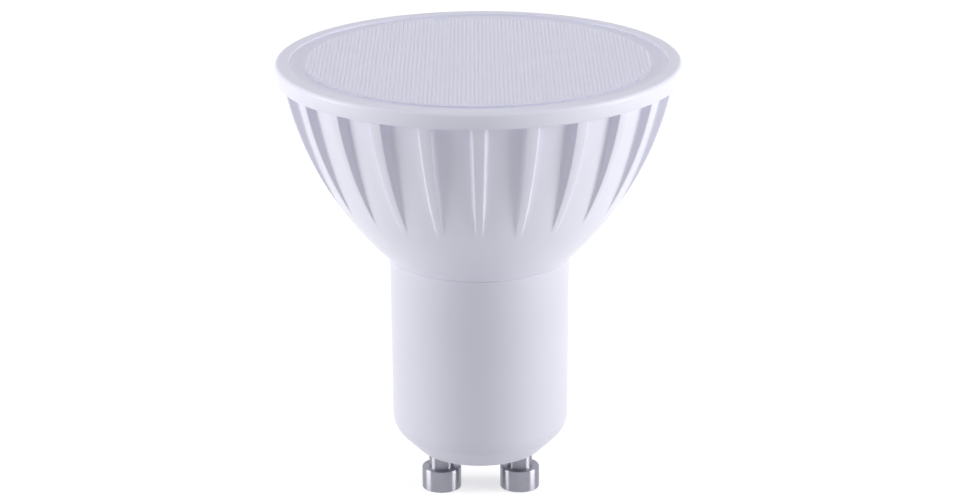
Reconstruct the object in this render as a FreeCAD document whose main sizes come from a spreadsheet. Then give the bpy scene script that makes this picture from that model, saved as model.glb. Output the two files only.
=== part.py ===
import FreeCAD, Part

import math
import os
from types import SimpleNamespace

import Sketcher

# A twin-pin spotlight lamp: ribbed bowl, neck, raised lens, and the light source and driver inside.
# Millimetres, +Z up along the lamp's axis, origin at the centre of the plane under the two pin heads.

doc = FreeCAD.newDocument("spotlight")
sheet = doc.addObject("Spreadsheet::Sheet", "Sizes")

# Driving sizes: alias and value
DRIVING = [
    # Contact pins
    ("pin_spacing", 10.0),
    ("pin_head_radius", 2.5),
    ("pin_head_height", 2.85),
    ("pin_head_bevel", 0.12),
    ("pin_post_radius", 1.6),
    ("pin_standoff", 3.1),
    ("pin_shank_radius", 1.3),
    ("rivet_radius", 2.0),
    ("rivet_thickness", 0.5),
    ("pin_tail_radius", 1.0),
    ("pin_tail_length", 1.6),
    # Neck moulding
    ("neck_height", 25.6),
    ("neck_foot_radius", 11.1),
    ("neck_top_radius", 11.25),
    ("foot_bevel", 3.2),
    ("foot_round", 2.9),
    ("neck_wall", 1.2),
    ("floor_thickness", 2.2),
    ("bore_bevel", 1.9),
    ("boss_radius", 2.9),
    ("boss_height", 1.5),
    ("rail_thickness", 1.1),
    ("rail_reach", 1.6),
    ("rail_height", 18.0),
    # Spigot that joins the neck to the bowl
    ("spigot_depth", 0.65),
    ("spigot_height", 3.0),
    ("bead_height", 0.8),
    ("bead_curve", 0.45),
    # Bowl moulding
    ("bowl_height", 23.1),
    ("bowl_curve", 44.6),
    ("rim_radius", 25.0),
    ("rim_wall", 1.8),
    ("band_height", 2.05),
    ("band_step", 0.71),
    ("rim_round", 0.35),
    ("lip_round", 0.2),
    ("shell_wall", 1.8),
    ("inner_curve", 38.0),
    # Ribs of the bowl
    ("rib_count", 24),
    ("rib_depth", 0.9),
    ("rib_top_width", 1.44),
    ("rib_end_width", 0.66),
    ("rib_slant", 0.75),
    ("rib_drop", 15.4),
    ("panel_curve", 60.0),
    # Lens
    ("lens_recess", 0.42),
    ("lens_border_thickness", 1.2),
    ("lens_border", 1.85),
    ("lens_disc_rise", 0.37),
    ("lens_disc_thickness", 1.3),
    ("skirt_inset", 1.4),
    ("skirt_thickness", 0.9),
    ("skirt_height", 1.7),
    # Light source
    ("spreader_floor_drop", 10.5),
    ("spreader_thickness", 0.8),
    ("spreader_floor", 1.2),
    ("collar_radius", 2.1),
    ("collar_height", 1.2),
    ("pad_thickness", 0.3),
    ("pad_margin", 0.5),
    ("led_board_margin", 1.1),
    ("led_board_thickness", 1.0),
    ("chip_height", 0.75),
    ("outer_chip_count", 12),
    ("inner_chip_count", 4),
    ("screw_radius", 1.25),
    # Places and sizes on the LED board, as shares of its radius
    ("outer_chip_share", 0.8),
    ("inner_chip_share", 0.41),
    ("screw_share", 0.595),
    ("chip_length_share", 0.2),
    ("chip_width_share", 0.16),
    ("screw_head_share", 0.125),
    ("screw_slot_share", 0.6),
    # Screws and lead bush
    ("screw_head_height", 1.3),
    ("screw_slot_depth", 0.7),
    ("screw_slot_width", 0.55),
    ("bush_radius", 2.5),
    ("bush_bore_radius", 1.9),
    ("bush_flange_radius", 3.6),
    ("bush_flange_thickness", 0.8),
    # Driver board and its parts
    ("driver_thickness", 1.0),
    ("driver_edge_gap", 0.3),
    ("lead_radius", 0.6),
    ("core_radius", 0.35),
    ("lead_bend", 1.3),
    ("lead_lap", 3.25),
    ("mains_rise", 6.85),
    ("leg_radius", 0.3),
    ("leg_bend", 0.8),
    ("leg_stub", 0.5),
    ("solder_rim", 0.45),
    ("solder_height", 0.35),
    ("fuse_radius", 1.25),
    ("fuse_waist", 0.2),
    ("fuse_length", 6.0),
    ("can_gap", 0.7),
    ("can_groove", 0.3),
    ("bulk_radius", 4.0),
    ("bulk_length", 11.5),
    ("bulk_pitch", 3.5),
    ("bulk_clearance", 1.1),
    ("output_radius", 2.5),
    ("output_length", 11.0),
    ("output_pitch", 2.0),
    ("output_side", 5.0),
    ("output_rise", 2.85),
    ("film_length", 9.0),
    ("film_width", 4.6),
    ("film_height", 4.0),
    ("film_round", 0.4),
    ("film_side", 5.2),
    ("film_rise", 7.45),
    ("choke_radius", 2.0),
    ("choke_height", 4.0),
    ("choke_flange", 0.7),
    ("choke_waist", 0.5),
    ("choke_side", -5.8),
    ("choke_rise", 7.85),
    ("core_length", 12.0),
    ("core_width", 4.0),
    ("core_height", 6.6),
    ("core_limb", 2.0),
    ("inductor_clearance", 1.0),
    ("lead_clearance", 0.3),
    ("chip_side", -5.35),
    ("bridge_length", 4.7),
    ("bridge_width", 3.9),
    ("bridge_height", 2.5),
    ("bridge_reach", 0.8),
    ("bridge_rise", 4.45),
    ("controller_length", 4.9),
    ("controller_width", 3.9),
    ("controller_height", 1.5),
    ("controller_reach", 0.8),
    ("controller_rise", 11.35),
    ("diode_length", 2.6),
    ("diode_width", 4.3),
    ("diode_height", 2.2),
    ("diode_reach", 0.4),
    ("diode_side", -5.6),
    ("diode_rise", 11.45),
    ("terminal_height", 0.3),
    ("resistor_length", 2.0),
    ("resistor_width", 1.25),
    ("resistor_height", 0.55),
    ("resistor_pitch", 2.2),
    ("resistor_count", 4),
    ("resistor_side", -6.5),
    ("resistor_rise", 15.85),
    # Fits, and how far a cut runs past the surface
    ("fit_gap", 0.05),
    ("cut_clearance", 0.4),
]


class Size:
    """A number together with the sheet formula that gives it."""

    def __init__(self, value, text):
        self.value = float(value)
        self.text = text

    @staticmethod
    def of(other):
        if isinstance(other, Size):
            return other
        return Size(other, "({!r})".format(float(other)))

    def combine(self, other, sign, value):
        return Size(value, "({} {} {})".format(self.text, sign, other.text))

    def __add__(self, other):
        other = Size.of(other)
        return self.combine(other, "+", self.value + other.value)

    def __radd__(self, other):
        return Size.of(other) + self

    def __sub__(self, other):
        other = Size.of(other)
        return self.combine(other, "-", self.value - other.value)

    def __rsub__(self, other):
        return Size.of(other) - self

    def __mul__(self, other):
        other = Size.of(other)
        return self.combine(other, "*", self.value * other.value)

    def __rmul__(self, other):
        return Size.of(other) * self

    def __truediv__(self, other):
        other = Size.of(other)
        return self.combine(other, "/", self.value / other.value)

    def __rtruediv__(self, other):
        return Size.of(other) / self

    def __neg__(self):
        return Size(-self.value, "(-{})".format(self.text))


def root(size):
    return Size(math.sqrt(size.value), "sqrt({})".format(size.text))


def larger(one, other):
    return Size(max(one.value, other.value), "max({}; {})".format(one.text, other.text))


def sine(angle):
    return Size(math.sin(math.radians(angle.value)), "sin({})".format(angle.text))


def cosine(angle):
    return Size(math.cos(math.radians(angle.value)), "cos({})".format(angle.text))


s = SimpleNamespace()
rows = 0


def enter(name, content, value):
    """Write one cell of the sheet and give its size a name."""
    global rows
    rows += 1
    cell = "A{}".format(rows)
    sheet.set(cell, content)
    sheet.setAlias(cell, name)
    setattr(s, name, Size(value, "Sizes." + name))


def derive(name, size):
    """Keep a size that follows from others as a formula of the sheet."""
    enter(name, "=" + size.text.replace("Sizes.", ""), size.value)
    return getattr(s, name)


for alias, number in DRIVING:
    enter(alias, repr(number), number)


# Heights along the axis
derive("base_face", s.pin_head_height + s.pin_standoff)
derive("floor_top", s.base_face + s.floor_thickness)
derive("boss_top", s.floor_top + s.boss_height)
derive("tail_top", s.boss_top + s.rivet_thickness + s.pin_tail_length)
derive("seam", s.base_face + s.neck_height)
derive("collar_top", s.seam + s.spigot_height + s.fit_gap * 2)
derive("band_bottom", s.seam + s.bowl_height)
derive("rim_top", s.band_bottom + s.band_height)
derive("lens_ledge", s.rim_top - s.lens_recess - s.lens_border_thickness)
derive("skirt_bottom", s.lens_ledge - s.skirt_height)
derive("spreader_top", s.skirt_bottom - s.fit_gap)
derive("dish_bottom", s.lens_ledge - s.spreader_floor_drop)
derive("dish_floor", s.dish_bottom + s.spreader_floor)
derive("board_seat", s.dish_floor + s.pad_thickness)
derive("board_face", s.board_seat + s.led_board_thickness)

# Heights of the driver parts, each stacked on what is under it
derive("mains_joint", s.floor_top + s.mains_rise)
derive("fuse_low", s.tail_top + s.fit_gap + s.leg_radius)
derive("fuse_bridge", s.fuse_low + s.fuse_length + s.lead_bend + s.core_radius)
derive("fuse_top", s.fuse_bridge + s.core_radius)
derive("bulk_low", s.fuse_top + s.bulk_clearance)
derive("output_low", s.floor_top + s.output_rise)
derive("inductor_low", s.fuse_top + s.inductor_clearance)
derive("inductor_middle", s.inductor_low + s.core_length / 2)
derive("parts_top", larger(s.bulk_low + s.bulk_length, s.inductor_low + s.core_length))
derive("lead_low", s.parts_top + s.lead_clearance)
derive("driver_top", s.lead_low + s.lead_lap)

# Radii that follow from the fits
derive("neck_bore", s.neck_foot_radius - s.neck_wall)
derive("spigot_radius", s.neck_top_radius - s.spigot_depth)
derive("collar_bore", s.spigot_radius + s.fit_gap)
derive("mouth_radius", s.rim_radius - s.band_step)
derive("pocket_radius", s.rim_radius - s.rim_wall)
derive("lens_radius", s.pocket_radius - s.fit_gap)
derive("lens_disc_radius", s.lens_radius - s.lens_border)
derive("skirt_radius", s.lens_radius - s.skirt_inset)
derive("mouth_bore", s.skirt_radius + s.fit_gap)
derive("pin_offset", s.pin_spacing / 2)
derive("board_half", s.driver_thickness / 2)
derive("bush_hole", s.bush_radius + s.fit_gap)
derive("screw_hole", s.screw_radius + s.fit_gap)


def arc_centre(name, low, high, radius):
    """Centre of the arc from low to high, on the side of the lamp's axis."""
    run = high[0] - low[0]
    rise = high[1] - low[1]
    span = derive(name + "_span", root(run * run + rise * rise))
    reach = derive(name + "_reach", root(radius * radius - span * span / 4) / span)
    derive(name + "_centre_x", (low[0] + high[0]) / 2 - reach * rise)
    derive(name + "_centre_z", (low[1] + high[1]) / 2 + reach * run)


def arc_radius(name, radius, height):
    """Distance from the lamp's axis of a named arc at a height."""
    rise = height - getattr(s, name + "_centre_z")
    return getattr(s, name + "_centre_x") + root(radius * radius - rise * rise)


arc_centre("bowl", (s.neck_top_radius, s.seam), (s.mouth_radius, s.band_bottom), s.bowl_curve)
derive("inner_low_radius", arc_radius("bowl", s.bowl_curve, s.collar_top) - s.shell_wall)
arc_centre("inner", (s.inner_low_radius, s.collar_top), (s.mouth_bore, s.spreader_top), s.inner_curve)
derive("spreader_curve", s.inner_curve - s.fit_gap)
derive("dish_curve", s.spreader_curve - s.spreader_thickness)
derive("led_board_radius", arc_radius("inner", s.dish_curve, s.dish_floor) - s.led_board_margin)
derive("pad_radius", s.led_board_radius - s.pad_margin)
derive("outer_chip_circle", s.led_board_radius * s.outer_chip_share)
derive("screw_circle", s.led_board_radius * s.screw_share)
derive("inner_chip_circle", s.led_board_radius * s.inner_chip_share)
derive("chip_length", s.led_board_radius * s.chip_length_share)
derive("chip_width", s.led_board_radius * s.chip_width_share)
derive("screw_head_radius", s.led_board_radius * s.screw_head_share)
derive("panel_end", s.band_bottom - s.rib_drop)
derive("panel_end_radius", arc_radius("bowl", s.bowl_curve, s.panel_end))
derive("panel_top_radius", s.mouth_radius - s.rib_depth)
arc_centre("panel", (s.panel_end_radius, s.panel_end), (s.panel_top_radius, s.band_bottom), s.panel_curve)


# Helpers for bodies and sketches

def new_body(label):
    body = doc.addObject("PartDesign::Body", label)
    body.Label = label
    body.AllowCompound = True
    return body


def origin_part(body, role):
    for feature in body.Origin.OriginFeatures:
        if feature.Role == role:
            return feature
    raise RuntimeError("no {} in {}".format(role, body.Label))


def new_sketch(body, name, role="XZ_Plane", height=None, turn=None):
    """An empty sketch on one of the body's own planes, lifted by a height and turned about its normal."""
    sketch = body.newObject("Sketcher::SketchObject", body.Label + "_" + name)
    sketch.AttachmentSupport = (origin_part(body, role), [""])
    sketch.MapMode = "FlatFace"
    if height is not None:
        sketch.setExpression("AttachmentOffset.Base.z", height.text)
    if turn is not None:
        sketch.setExpression("AttachmentOffset.Rotation.Angle", turn.text)
    return sketch


def bind(sketch, constraint, size):
    index = sketch.addConstraint(constraint)
    sketch.setExpression("Constraints[{}]".format(index), size.text)


def hold_point(sketch, geometry, place, point):
    """Hold one point of the sketch at a place given by two sizes."""
    for kind, axis, size in (("DistanceX", -2, point[0]), ("DistanceY", -1, point[1])):
        size = Size.of(size)
        if size.value == 0:
            sketch.addConstraint(Sketcher.Constraint("PointOnObject", geometry, place, axis))
        else:
            bind(sketch, Sketcher.Constraint(kind, -1, 1, geometry, place, size.value), size)


def arc_between(start, end, radius, left):
    """An arc of the given radius whose centre lies to the left or right of the way from start to end."""
    chord = end - start
    half = chord.Length / 2
    side = FreeCAD.Vector(-chord.y, chord.x, 0).normalize()
    reach = math.sqrt(max(radius * radius - half * half, 0))
    centre = (start + end) / 2 + side * (reach if left else -reach)
    first, last = (start, end) if left else (end, start)
    angles = [math.atan2(p.y - centre.y, p.x - centre.x) for p in (first, last)]
    if angles[1] < angles[0]:
        angles[1] += 2 * math.pi
    circle = Part.Circle(centre, FreeCAD.Vector(0, 0, 1), radius)
    return Part.ArcOfCircle(circle, angles[0], angles[1])


def outline(sketch, corners, arcs=None):
    """A closed outline. arcs gives, for the side after a corner, its radius and which side its centre is."""
    arcs = arcs or {}
    points = [FreeCAD.Vector(Size.of(x).value, Size.of(y).value, 0) for x, y in corners]
    ends = []
    for number, start in enumerate(points):
        end = points[(number + 1) % len(points)]
        if number in arcs:
            radius, side = arcs[number]
            left = side == "left"
            index = sketch.addGeometry(arc_between(start, end, radius.value, left), False)
            bind(sketch, Sketcher.Constraint("Radius", index, radius.value), radius)
            ends.append((index, 1, 2) if left else (index, 2, 1))
        else:
            index = sketch.addGeometry(Part.LineSegment(start, end), False)
            ends.append((index, 1, 2))
    for number, (index, first, last) in enumerate(ends):
        following = ends[(number + 1) % len(ends)]
        sketch.addConstraint(Sketcher.Constraint("Coincident", index, last, following[0], following[1]))
        hold_point(sketch, index, first, corners[number])


def ring(sketch, radius, x=0, y=0):
    """A circle of the sketch, held at its centre."""
    centre = FreeCAD.Vector(Size.of(x).value, Size.of(y).value, 0)
    circle = Part.Circle(centre, FreeCAD.Vector(0, 0, 1), radius.value)
    index = sketch.addGeometry(circle, False)
    bind(sketch, Sketcher.Constraint("Radius", index, radius.value), radius)
    hold_point(sketch, index, 3, (x, y))


def block(sketch, left, low, right, high):
    outline(sketch, [(left, low), (right, low), (right, high), (left, high)])


def turned(body, sketch):
    """Turn a profile once round its sketch's upright axis."""
    feature = body.newObject("PartDesign::Revolution", sketch.Name + "_turned")
    feature.Profile = sketch
    feature.ReferenceAxis = (sketch, ["V_Axis"])
    feature.Angle = 360
    sketch.Visibility = False
    return feature


def padded(body, sketch, length):
    feature = body.newObject("PartDesign::Pad", sketch.Name + "_pad")
    feature.Profile = sketch
    feature.setExpression("Length", length.text)
    return feature


def pocketed(body, sketch, length):
    """Cut upwards from the sketch."""
    feature = body.newObject("PartDesign::Pocket", sketch.Name + "_pocket")
    feature.Profile = sketch
    feature.Reversed = True
    feature.setExpression("Length", length.text)
    return feature


def patterned(body, original, count):
    """Repeat a feature round the lamp's axis."""
    feature = body.newObject("PartDesign::PolarPattern", original.Name + "_pattern")
    feature.Originals = [original]
    feature.Axis = (origin_part(body, "Z_Axis"), [""])
    feature.Angle = 360
    feature.Occurrences = int(count.value)
    feature.setExpression("Occurrences", count.text)
    body.Tip = feature


# Housing

def panel_section(body, name, height):
    """Section of the recess between two ribs at one height, as seen along the axis."""
    share = (height - s.panel_end) / s.rib_drop
    surface = arc_radius("bowl", s.bowl_curve, height)
    floor = arc_radius("panel", s.panel_curve, height)
    face_half = (s.rib_end_width + (s.rib_top_width - s.rib_end_width) * share) / 2
    outside = surface + s.cut_clearance
    half_pitch = 180 / s.rib_count
    sketch = new_sketch(body, name, "XY_Plane", height, half_pitch)
    corners = []
    for radius in (floor, outside):
        half = face_half + s.rib_slant * (surface - radius)
        along = root(radius * radius - half * half)
        x = along * cosine(half_pitch) + half * sine(half_pitch)
        y = along * sine(half_pitch) - half * cosine(half_pitch)
        corners.append((x, y))
    (x_floor, y_floor), (x_out, y_out) = corners
    outline(
        sketch,
        [(x_floor, -y_floor), (x_out, -y_out), (x_out, y_out), (x_floor, y_floor)],
        {3: (floor, "right")},
    )
    return sketch


def ribbed_housing():
    body = new_body("ribbed_housing")
    sketch = new_sketch(body, "profile")
    bead = s.seam + s.spigot_height / 2
    snap = s.lens_ledge - s.skirt_height / 2
    half_bead = s.bead_height / 2 + s.fit_gap
    bead_curve = s.bead_curve + s.fit_gap
    outline(
        sketch,
        [
            (s.neck_top_radius, s.seam),
            (s.mouth_radius, s.band_bottom),
            (s.rim_radius - s.lip_round, s.band_bottom),
            (s.rim_radius, s.band_bottom + s.lip_round),
            (s.rim_radius, s.rim_top - s.rim_round),
            (s.rim_radius - s.rim_round, s.rim_top),
            (s.pocket_radius, s.rim_top),
            (s.pocket_radius, s.lens_ledge),
            (s.mouth_bore, s.lens_ledge),
            (s.mouth_bore, snap + half_bead),
            (s.mouth_bore, snap - half_bead),
            (s.mouth_bore, s.spreader_top),
            (s.inner_low_radius, s.collar_top),
            (s.collar_bore, s.collar_top),
            (s.collar_bore, bead + half_bead),
            (s.collar_bore, bead - half_bead),
            (s.collar_bore, s.seam),
        ],
        {
            0: (s.bowl_curve, "left"),
            2: (s.lip_round, "left"),
            4: (s.rim_round, "left"),
            9: (bead_curve, "right"),
            11: (s.inner_curve, "right"),
            14: (bead_curve, "right"),
        },
    )
    turned(body, sketch)
    levels = [1.0, 0.72, 0.44, 0.18, -0.12]
    sections = []
    for number, share in enumerate(levels):
        sections.append(panel_section(body, "panel_{}".format(number), s.panel_end + s.rib_drop * share))
    recess = body.newObject("PartDesign::SubtractiveLoft", "panel_recess")
    recess.Profile = sections[0]
    recess.Sections = sections[1:]
    patterned(body, recess, s.rib_count)
    return body


# Neck

def base_neck():
    body = new_body("base_neck")
    sketch = new_sketch(body, "profile")
    corner = s.base_face + s.foot_bevel
    tangent = s.foot_round * math.tan(math.radians(22.5))
    step = tangent * math.sqrt(0.5)
    bead = s.seam + s.spigot_height / 2
    half_bead = s.bead_height / 2
    outline(
        sketch,
        [
            (0, s.base_face),
            (s.neck_foot_radius - s.foot_bevel, s.base_face),
            (s.neck_foot_radius - step, corner - step),
            (s.neck_foot_radius, corner + tangent),
            (s.neck_top_radius, s.seam),
            (s.spigot_radius, s.seam),
            (s.spigot_radius, bead - half_bead),
            (s.spigot_radius, bead + half_bead),
            (s.spigot_radius, s.seam + s.spigot_height),
            (s.neck_bore, s.seam + s.spigot_height),
            (s.neck_bore, s.floor_top + s.bore_bevel),
            (s.neck_bore - s.bore_bevel, s.floor_top),
            (0, s.floor_top),
        ],
        {2: (s.foot_round, "left"), 6: (s.bead_curve, "left")},
    )
    turned(body, sketch)

    bosses = new_sketch(body, "bosses", "XY_Plane", s.floor_top - s.floor_thickness / 2)
    for side in (-1, 1):
        ring(bosses, s.boss_radius, s.pin_offset * side)
    padded(body, bosses, s.boss_height + s.floor_thickness / 2)

    rails = new_sketch(body, "rails", "XY_Plane", s.floor_top + s.bore_bevel)
    near = s.board_half + s.fit_gap
    far = near + s.rail_thickness
    inner = s.neck_bore - s.rail_reach
    outer = s.neck_bore + s.neck_wall / 3
    block(rails, near, inner, far, outer)
    block(rails, -far, inner, -near, outer)
    block(rails, near, -outer, far, -inner)
    block(rails, -far, -outer, -near, -inner)
    padded(body, rails, s.rail_height)

    holes = new_sketch(body, "pin_holes", "XY_Plane", s.base_face)
    for side in (-1, 1):
        ring(holes, s.pin_shank_radius + s.fit_gap, s.pin_offset * side)
    pocketed(body, holes, s.floor_thickness + s.boss_height)
    return body


# Contact pins

def contact_pin(label, side):
    body = new_body(label)
    sketch = new_sketch(body, "profile")
    outline(
        sketch,
        [
            (0, 0),
            (s.pin_head_radius - s.pin_head_bevel, 0),
            (s.pin_head_radius, s.pin_head_bevel),
            (s.pin_head_radius, s.pin_head_height - s.pin_head_bevel),
            (s.pin_head_radius - s.pin_head_bevel, s.pin_head_height),
            (s.pin_post_radius, s.pin_head_height),
            (s.pin_post_radius, s.base_face),
            (s.pin_shank_radius, s.base_face),
            (s.pin_shank_radius, s.boss_top),
            (s.rivet_radius, s.boss_top),
            (s.rivet_radius, s.boss_top + s.rivet_thickness),
            (s.pin_tail_radius, s.boss_top + s.rivet_thickness),
            (s.pin_tail_radius, s.tail_top),
            (s.core_radius + s.fit_gap, s.tail_top),
            (s.core_radius + s.fit_gap, s.tail_top - s.pin_tail_length),
            (0, s.tail_top - s.pin_tail_length),
        ],
    )
    turned(body, sketch)
    body.setExpression("Placement.Base.x", (s.pin_offset * side).text)
    return body


# Lens

def lens():
    body = new_body("lens")
    sketch = new_sketch(body, "profile")
    border_top = s.rim_top - s.lens_recess
    disc_top = border_top + s.lens_disc_rise
    disc_low = disc_top - s.lens_disc_thickness
    skirt_bore = s.skirt_radius - s.skirt_thickness
    snap = s.lens_ledge - s.skirt_height / 2
    half_bead = s.bead_height / 2
    outline(
        sketch,
        [
            (0, disc_low),
            (skirt_bore, disc_low),
            (skirt_bore, s.skirt_bottom),
            (s.skirt_radius, s.skirt_bottom),
            (s.skirt_radius, snap - half_bead),
            (s.skirt_radius, snap + half_bead),
            (s.skirt_radius, s.lens_ledge),
            (s.lens_radius, s.lens_ledge),
            (s.lens_radius, border_top),
            (s.lens_disc_radius, border_top),
            (s.lens_disc_radius, disc_top),
            (0, disc_top),
        ],
        {4: (s.bead_curve, "left")},
    )
    turned(body, sketch)
    return body


# Light source

def heat_spreader():
    body = new_body("heat_spreader")
    sketch = new_sketch(body, "profile")
    outer = s.spreader_curve
    inner = s.dish_curve
    outline(
        sketch,
        [
            (s.bush_hole, s.dish_bottom),
            (arc_radius("inner", outer, s.dish_bottom), s.dish_bottom),
            (arc_radius("inner", outer, s.spreader_top), s.spreader_top),
            (arc_radius("inner", inner, s.spreader_top), s.spreader_top),
            (arc_radius("inner", inner, s.dish_floor), s.dish_floor),
            (s.bush_hole, s.dish_floor),
        ],
        {1: (outer, "left"), 3: (inner, "right")},
    )
    turned(body, sketch)
    collars = new_sketch(body, "collars", "XY_Plane", s.dish_bottom - s.collar_height)
    for side in (-1, 1):
        ring(collars, s.collar_radius, s.screw_circle * side)
    padded(body, collars, s.collar_height + s.spreader_floor / 2)
    holes = new_sketch(body, "screw_holes", "XY_Plane", s.dish_bottom - s.collar_height)
    for side in (-1, 1):
        ring(holes, s.screw_hole, s.screw_circle * side)
    pocketed(body, holes, s.collar_height + s.spreader_floor)
    return body


def drilled_disc(label, radius, low, thickness):
    """A disc with the holes for the lead bush and the two screws."""
    body = new_body(label)
    sketch = new_sketch(body, "outline", "XY_Plane", low)
    ring(sketch, radius)
    ring(sketch, s.bush_hole)
    for side in (-1, 1):
        ring(sketch, s.screw_hole, s.screw_circle * side)
    padded(body, sketch, thickness)
    return body


def led_chips():
    body = new_body("led_chips")
    for name, circle, count in (
        ("outer", s.outer_chip_circle, s.outer_chip_count),
        ("inner", s.inner_chip_circle, s.inner_chip_count),
    ):
        sketch = new_sketch(body, name, "XY_Plane", s.board_face, 180 / count)
        half_width = s.chip_width / 2
        half_length = s.chip_length / 2
        block(sketch, circle - half_width, -half_length, circle + half_width, half_length)
        chip = padded(body, sketch, s.chip_height)
        patterned(body, chip, count)
    return body


def board_screws():
    body = new_body("board_screws")
    shanks = new_sketch(body, "shanks", "XY_Plane", s.dish_bottom - s.collar_height)
    heads = new_sketch(body, "heads", "XY_Plane", s.board_face)
    slots = new_sketch(body, "slots", "XY_Plane", s.board_face + s.screw_head_height - s.screw_slot_depth)
    half = s.screw_slot_width / 2
    reach = s.screw_head_radius * s.screw_slot_share
    for side in (-1, 1):
        centre = s.screw_circle * side
        ring(shanks, s.screw_radius, centre)
        ring(heads, s.screw_head_radius, centre)
        outline(
            slots,
            [
                (centre - half, -reach),
                (centre + half, -reach),
                (centre + half, -half),
                (centre + reach, -half),
                (centre + reach, half),
                (centre + half, half),
                (centre + half, reach),
                (centre - half, reach),
                (centre - half, half),
                (centre - reach, half),
                (centre - reach, -half),
                (centre - half, -half),
            ],
        )
    padded(body, shanks, s.board_face - s.dish_bottom + s.collar_height)
    padded(body, heads, s.screw_head_height)
    pocketed(body, slots, s.screw_slot_depth)
    return body


def lead_bush():
    body = new_body("lead_bush")
    sketch = new_sketch(body, "profile")
    low = s.dish_bottom - s.bush_flange_thickness
    outline(
        sketch,
        [
            (s.bush_bore_radius, low),
            (s.bush_flange_radius, low),
            (s.bush_flange_radius, s.dish_bottom),
            (s.bush_radius, s.dish_bottom),
            (s.bush_radius, s.board_face),
            (s.bush_bore_radius, s.board_face),
        ],
    )
    turned(body, sketch)
    return body


# Driver

RIGHT = 1
LEFT = -1
MIDDLE = Size.of(0)
LEG_HOLES = []


def leg_hole(y, z, radius, exit_side):
    """Note a hole that the driver board needs for a leg, and the face where the leg comes out."""
    LEG_HOLES.append((y, z, radius, exit_side))


def rounded_path(sketch, points, bend):
    """An open path of upright and level runs, with every corner rounded to one bend radius."""
    values = [FreeCAD.Vector(Size.of(x).value, Size.of(y).value, 0) for x, y in points]
    ways = [(b - a).normalize() for a, b in zip(values, values[1:])]

    def moved(point, way, sign):
        return tuple(Size.of(size) + bend * round(part) * sign for size, part in zip(point, way))

    stops = [points[0]]
    for number in range(1, len(points) - 1):
        stops.append(moved(points[number], ways[number - 1], -1))
        stops.append(moved(points[number], ways[number], 1))
    stops.append(points[-1])
    places = [FreeCAD.Vector(Size.of(x).value, Size.of(y).value, 0) for x, y in stops]
    previous = None
    for number in range(len(stops) - 1):
        start, end = places[number], places[number + 1]
        if number % 2 == 0:
            index, first, last = sketch.addGeometry(Part.LineSegment(start, end), False), 1, 2
        else:
            turn = ways[number // 2].cross(ways[number // 2 + 1]).z
            left = turn > 0
            index = sketch.addGeometry(arc_between(start, end, bend.value, left), False)
            first, last = (1, 2) if left else (2, 1)
            bind(sketch, Sketcher.Constraint("Radius", index, bend.value), bend)
        if previous:
            sketch.addConstraint(Sketcher.Constraint("Coincident", previous[0], previous[1], index, first))
        hold_point(sketch, index, first, stops[number])
        previous = (index, last)
    hold_point(sketch, previous[0], previous[1], stops[-1])


def wire(body, name, points, radius, bend, y=0):
    """A round wire along upright and level runs in a plane across the board; it starts upright."""
    y = Size.of(y)
    path = new_sketch(body, name + "_path", "XZ_Plane", -y)
    rounded_path(path, points, bend)
    section = new_sketch(body, name + "_section", "XY_Plane", Size.of(points[0][1]))
    ring(section, radius, points[0][0], y)
    pipe = body.newObject("PartDesign::AdditivePipe", section.Name + "_pipe")
    pipe.Profile = section
    pipe.Spine = (path, [])
    return pipe


def mains_lead():
    """Insulated wire from the left pin's tail to the driver board."""
    body = new_body("mains_lead")
    x = -s.pin_offset
    through = s.board_half + s.leg_stub
    points = [(x, s.tail_top - s.pin_tail_length), (x, s.mains_joint), (through, s.mains_joint)]
    wire(body, "core", points, s.core_radius, s.lead_bend)
    points = [(x, s.tail_top + s.fit_gap), (x, s.mains_joint), (-s.board_half - s.lead_radius, s.mains_joint)]
    wire(body, "cover", points, s.lead_radius, s.lead_bend)
    leg_hole(MIDDLE, s.mains_joint, s.core_radius, RIGHT)
    return body


def fuse_resistor():
    """Fusible resistor that stands on the right pin's tail and ends in the driver board."""
    body = new_body("fuse_resistor")
    x = s.pin_offset
    low = s.fuse_low
    high = low + s.fuse_length
    top = s.fuse_bridge
    points = [(x, s.tail_top - s.pin_tail_length), (x, top), (-s.board_half - s.leg_stub, top)]
    wire(body, "lead", points, s.core_radius, s.lead_bend)
    sketch = new_sketch(body, "profile")
    waist = s.fuse_radius - s.fuse_waist
    cap = s.fuse_length / 5
    bevel = s.fuse_waist
    outline(
        sketch,
        [
            (0, low),
            (waist, low),
            (s.fuse_radius, low + bevel),
            (s.fuse_radius, low + cap),
            (waist, low + cap + bevel),
            (waist, high - cap - bevel),
            (s.fuse_radius, high - cap),
            (s.fuse_radius, high - bevel),
            (waist, high),
            (0, high),
        ],
    )
    sketch.setExpression("AttachmentOffset.Base.x", x.text)
    turned(body, sketch)
    leg_hole(MIDDLE, top, s.core_radius, LEFT)
    return body


def led_lead(label, side):
    """Insulated wire from the driver board up through the bush and over onto the LED board."""
    body = new_body(label)
    x = (s.board_half + s.fit_gap + s.lead_radius) * side
    far = (s.bush_radius + s.lead_bend * 2) * side
    crest = s.board_face + s.lead_bend + s.lead_radius
    points = [(x, s.lead_low), (x, crest), (far, crest), (far, s.board_face)]
    wire(body, "cover", points, s.lead_radius, s.lead_bend)
    return body


def stand_off_board(body, side, y, z):
    """Turn a part so that its own Z leaves the board, its own X points up, and put it on the board."""
    up = FreeCAD.Vector(0, 0, 1)
    across = FreeCAD.Vector(0, -side, 0)
    away = FreeCAD.Vector(side, 0, 0)
    body.Placement.Rotation = FreeCAD.Rotation(up, across, away, "ZXY")
    body.setExpression("Placement.Base.x", (s.board_half * side).text)
    body.setExpression("Placement.Base.y", y.text)
    body.setExpression("Placement.Base.z", z.text)


def named_sizes(name, *words):
    """The sizes of one driver part, as name_word."""
    return [getattr(s, name + "_" + word) for word in words]


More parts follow.
